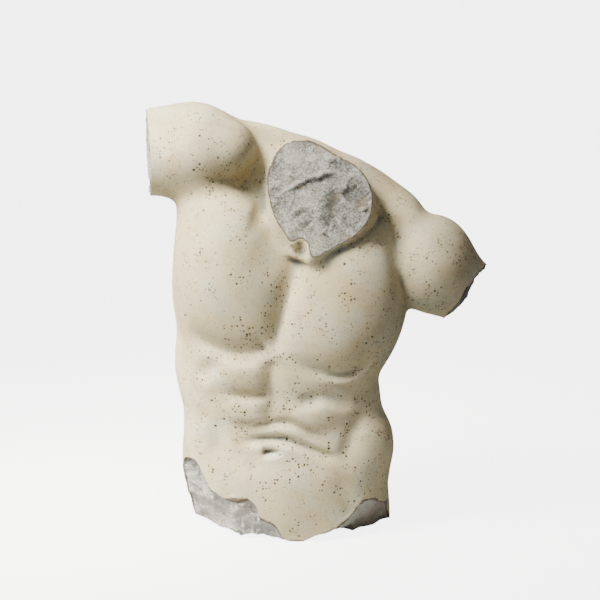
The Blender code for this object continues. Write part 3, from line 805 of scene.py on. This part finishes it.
def finished_torso():
    """The whole visual piece, with the attributes that its material reads."""
    random = np.random.default_rng(SEED)
    charts = carve_chart(FRONT_STROKES, FRONT_SWELLS), carve_chart(BACK_STROKES, BACK_SWELLS)
    points, quads = skin_of(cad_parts["torso"])
    points, stone = carve_skin(points, charts)
    broken = (stone[quads] > 0).any(1)
    points, quads, wide, values = split_quads(points, quads, broken, {"stone": stone})
    faces = np.concatenate((quads, fan_of(wide)))
    points, relief = roughen(points, faces, values["stone"])
    values.update(relief=relief, hollow=hollowness(points, faces, HOLLOW_ROUNDS))
    chosen = choose_pores(points, quads, values["stone"], random)
    values = {name: carried(value, quads, chosen) for name, value in values.items()}
    points, quads, values["pore"] = sink_pores(points, quads, chosen, random)
    low, high = (np.array(corner) / PERCENT for corner in CAD_BOX)
    points = np.clip(points, low, high)
    faces = quads.tolist() + wide
    mesh = bpy.data.meshes.new("travertine_torso")
    mesh.from_pydata(points * PERCENT, [], faces)
    mesh.polygons.foreach_set("use_smooth", np.ones(len(faces), bool))
    for name, value in values.items():
        mesh.attributes.new(name, "FLOAT", "POINT").data.foreach_set("value", value.astype(np.float32))
    mesh.materials.append(stone_filled_resin())
    piece = bpy.data.objects.new("travertine_torso", mesh)
    bpy.context.scene.collection.objects.link(piece)
    print("torso faces", len(faces), "pores", len(chosen))
    return piece


def colour(code):
    """A linear colour from an sRGB hex value."""
    parts = [int(code[i:i + 2], 16) / 255 for i in (1, 3, 5)]
    return (*(c / 12.92 if c < 0.04045 else ((c + 0.055) / 1.055) ** 2.4 for c in parts), 1)


def add(tree, kind, links=None, **settings):
    """Add one node: settings by attribute name, links or values by input."""
    made = tree.nodes.new(kind)
    for name, value in settings.items():
        setattr(made, name, value)
    for socket, value in (links or {}).items():
        if isinstance(value, bpy.types.NodeSocket):
            tree.links.new(value, made.inputs[socket])
        else:
            made.inputs[socket].default_value = value
    return made


# Noises of the finish: size in mm, detail, roughness. The real pinpricks and grit are under
# a millimetre; they are drawn at nearly two, so that they still show from a step away.
NOISES = {
    "broad cloud": (70.0, 3.0, 0.55),
    "cool cloud": (38.0, 3.0, 0.55),
    "warm cloud": (27.0, 3.0, 0.55),
    "speckle": (3.2, 4.0, 0.55),
    "pinprick": (1.9, 2.0, 0.55),
    "cluster": (12.0, 3.0, 0.55),
    "ochre": (16.0, 3.0, 0.55),
    "grit": (1.7, 5.0, 0.8),
    "wander": (4.0, 4.0, 0.7),
}

# Coats in the order they go on: colour, the value it follows, where that starts to cover,
# where it covers most, and its share there
SKIN_GROUND = "#C9BF9E"
SKIN_COATS = (
    ("#B5A986", "broad cloud", 0.35, 0.65, 1.0),
    ("#B4B9AB", "cool cloud", 0.48, 0.7, 0.6),
    ("#AD9670", "warm cloud", 0.5, 0.75, 0.55),
    ("#A39472", "speckle", 0.45, 0.75, 0.3),
    # painted shade: the skin's hollows and creases are painted dark grey, partly a thin glaze that stays
    # there
    ("#6A7074", "hollow", 0.3, 2.6, 0.8),
    # painted highlight: the skin's ridges are painted pale, partly a dry-brush
    ("#E6DCC2", "hollow", -0.15, -1.2, 0.4),
    ("#75684F", "pinprick", 0.60, 0.67, "clustered"),
    # painted shade: the pores are painted dark brown, partly a brown glaze in them
    ("#5A4C38", "pore", 0.1, 0.9, 1.0),
)
STONE_GROUND = "#5C5C56"
STONE_COATS = (
    # white brushed on the stone's high grain, more of it near the foot as painted light
    ("#E8E8E0", "stone height", -0.75, 0.7, 1.0),
    ("#E8E8E0", "stone height", 0.4, 1.1, 0.9),
    ("#A68A66", "ochre", 0.54, 0.72, 0.35),
    ("#9A8468", "to the right foot", 0.03, 0.06, 0.55),
)
# Edge value, in mm, from which the surface is painted as stone
STONE_FROM = 0.8
EDGE_COATS = (
    ("#6E5743", "edge", 0.3, 0.9, "rim"),
    # painted shade: the lowest 2 mm of the foot, the edge of its underside, is painted brown
    ("#7A6246", "up", 0.0022, 0.0004, 0.75),
)


def rise(tree, value, start, full, least=0.0, most=1.0):
    """A value that goes smoothly from least to most as another goes from start to full."""
    span = {"Value": value, "From Min": start, "From Max": full, "To Min": least, "To Max": most}
    return add(tree, "ShaderNodeMapRange", span, interpolation_type="SMOOTHSTEP").outputs["Result"]


def painted(tree, values, ground, coats):
    """The ground colour under all its coats."""
    for code, follows, start, full, share in coats:
        cover = rise(tree, values[follows], start, full, most=values.get(share, share))
        inputs = {0: cover, 6: ground, 7: colour(code)}
        ground = add(tree, "ShaderNodeMix", inputs, data_type="RGBA").outputs[2]
    return ground


def stone_filled_resin():
    """Polyester resin filled with stone powder, cast in a mould, and dry-brushed grey and white
    on the breaks. Painted shade darkens the hollows grey and the pores brown, partly a thin
    glaze that stays in them; painted highlight lightens the ridges, partly a pale dry-brush;
    painted light lightens the stone near the foot, and painted shade browns its bottom edge.
    The eye sees a matt cream skin with dark pores beside crisp grey stone."""
    material = bpy.data.materials.new("stone_filled_resin")
    material.use_nodes = True
    tree = material.node_tree
    shader = tree.nodes["Principled BSDF"]
    shader.inputs["Roughness"].default_value = 0.82
    shader.inputs["IOR"].default_value = 1.5
    shader.inputs["Specular IOR Level"].default_value = 0.3
    place = add(tree, "ShaderNodeTexCoord").outputs["Object"]
    axes = add(tree, "ShaderNodeSeparateXYZ", {0: place}).outputs
    values = {
        name: add(tree, "ShaderNodeAttribute", attribute_name=name).outputs["Fac"]
        for name in ("stone", "relief", "hollow", "pore")
    }
    for name, (size_mm, detail, rough) in NOISES.items():
        inputs = {"Vector": place, "Scale": 1000 / size_mm, "Detail": detail, "Roughness": rough}
        values[name] = add(tree, "ShaderNodeTexNoise", inputs).outputs["Fac"]
    values["up"] = axes["Z"]
    values["clustered"] = rise(tree, values["cluster"], 0.42, 0.6, 0.1, 0.75)

    # The chip under the right flank is stained brown, the left one and the neck are not
    aside = {0: axes["X"], 1: axes["Z"]}
    values["to the right foot"] = add(tree, "ShaderNodeMath", aside, operation="SUBTRACT").outputs[0]

    # Brush height: relief and grit above their mean; raised near the foot as painted light, so that the
    # chips there, which face down away from the lamps, are painted lighter
    height = rise(tree, values["up"], 0.075, 0.05, -1.5, -0.75)
    for name, weight in (("relief", 0.22), ("grit", 3.2)):
        inputs = {0: values[name], 1: weight, 2: height}
        height = add(tree, "ShaderNodeMath", inputs, operation="MULTIPLY_ADD").outputs[0]
    values["stone height"] = height

    # The edge value is the depth past the rim with a wander of about half a millimetre
    inputs = {0: values["wander"], 1: 1.6, 2: values["stone"]}
    values["edge"] = add(tree, "ShaderNodeMath", inputs, operation="MULTIPLY_ADD").outputs[0]
    values["rim"] = rise(tree, values["edge"], 2.8, 1.5, most=0.8)

    skin = painted(tree, values, colour(SKIN_GROUND), SKIN_COATS)
    rock = painted(tree, values, colour(STONE_GROUND), STONE_COATS)
    inputs = {0: rise(tree, values["edge"], STONE_FROM, 1.05), 6: skin, 7: rock}
    surface = add(tree, "ShaderNodeMix", inputs, data_type="RGBA").outputs[2]
    tree.links.new(painted(tree, values, surface, EDGE_COATS), shader.inputs["Base Color"])

    inputs = {0: values["grit"], 1: rise(tree, values["edge"], STONE_FROM, 1.4, 0.12, 1.0)}
    grain = add(tree, "ShaderNodeMath", inputs, operation="MULTIPLY").outputs[0]
    bump = add(tree, "ShaderNodeBump", {"Height": grain, "Strength": 1.0, "Distance": 0.006})
    tree.links.new(bump.outputs["Normal"], shader.inputs["Normal"])
    return material


# Photograph's view: 10.8 degrees down onto the torso from 1.25 m
VIEW_DISTANCE = 3.29 * HEIGHT
VIEW_DOWN_DEG = 10.8
VIEW_ANGLE_DEG = 24.1
VIEW_TARGET = (2.34, 0.0, 53.97)


def place_camera():
    down = math.radians(VIEW_DOWN_DEG)
    sight = Vector((0, math.cos(down), -math.sin(down)))
    lens = bpy.data.cameras.new("camera")
    lens.sensor_fit = "HORIZONTAL"
    lens.angle = math.radians(VIEW_ANGLE_DEG)
    camera = bpy.data.objects.new("camera", lens)
    camera.location = Vector(VIEW_TARGET) * PERCENT - VIEW_DISTANCE * sight
    camera.rotation_euler = sight.to_track_quat("-Z", "Y").to_euler()
    bpy.context.scene.collection.objects.link(camera)
    bpy.context.scene.camera = camera


# Studio: the key lamp's cone, and the strengths of sky and floor as light and as seen
KEY_CONE_DEG = 58
SKY_LIGHT = 0.24
SKY_SEEN = 5.1
FLOOR_LIGHT = 0.0
FLOOR_SEEN = 5.0


def add_lamp(name, kind, place, aim, size, strength, tint):
    """A sun, its size in degrees, or a round lamp with a fading cone, its size in heights.

    It shines from a place to an aim, both in heights."""
    lamp = bpy.data.lights.new(name, kind)
    if kind == "SUN":
        lamp.angle = math.radians(size)
    else:
        lamp.shadow_soft_size = size * HEIGHT
        lamp.spot_size = math.radians(KEY_CONE_DEG)
        lamp.spot_blend = 1.0
    lamp.energy = strength
    lamp.color = colour(tint)[:3]
    made = bpy.data.objects.new(name, lamp)
    made.location = Vector(place) * HEIGHT
    made.rotation_euler = (Vector(aim) - Vector(place)).to_track_quat("-Z", "Y").to_euler()
    bpy.context.scene.collection.objects.link(made)


def shine(tree, socket, light, seen):
    """Give a strength one value as light on the torso and another as the backdrop seen."""
    rays = add(tree, "ShaderNodeLightPath").outputs["Is Camera Ray"]
    inputs = {"Value": rays, "To Min": light, "To Max": seen}
    tree.links.new(add(tree, "ShaderNodeMapRange", inputs).outputs["Result"], socket)


def studio():
    """A grey floor and a dim sky that are both seen nearly white, so that little light comes
    up onto the torso; a soft key lamp high on the left and a wide low fill beside it."""
    world = bpy.data.worlds.new("studio")
    world.use_nodes = True
    sky = world.node_tree.nodes["Background"]
    sky.inputs["Color"].default_value = colour("#FFFFFF")
    shine(world.node_tree, sky.inputs["Strength"], SKY_LIGHT, SKY_SEEN)
    bpy.context.scene.world = world
    add_lamp("key", "SPOT", (-1.35, -0.72, 2.15), (-0.66, 0.0, 0.53), 0.7, 330.0, "#FFFAEC")
    add_lamp("fill", "SUN", (-2.4, -2.4, 0.3), (0, 0, 0), 60, 1.15, "#F4F8FF")
    paint = bpy.data.materials.new("floor_paint")
    paint.use_nodes = True
    shader = paint.node_tree.nodes["Principled BSDF"]
    shader.inputs["Base Color"].default_value = colour("#9C9C9A")
    shader.inputs["Roughness"].default_value = 0.9
    shader.inputs["Emission Color"].default_value = (1, 1, 1, 1)
    shine(paint.node_tree, shader.inputs["Emission Strength"], FLOOR_LIGHT, FLOOR_SEEN)
    half = 40 * HEIGHT
    corners = [(-half, -half, 0), (half, -half, 0), (half, half, 0), (-half, half, 0)]
    mesh = bpy.data.meshes.new("floor")
    mesh.from_pydata(corners, [], [(0, 1, 2, 3)])
    mesh.materials.append(paint)
    floor = bpy.data.objects.new("floor", mesh)
    bpy.context.scene.collection.objects.link(floor)


place_camera()
torso = finished_torso()
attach(torso, "root")
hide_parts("torso")
studio()
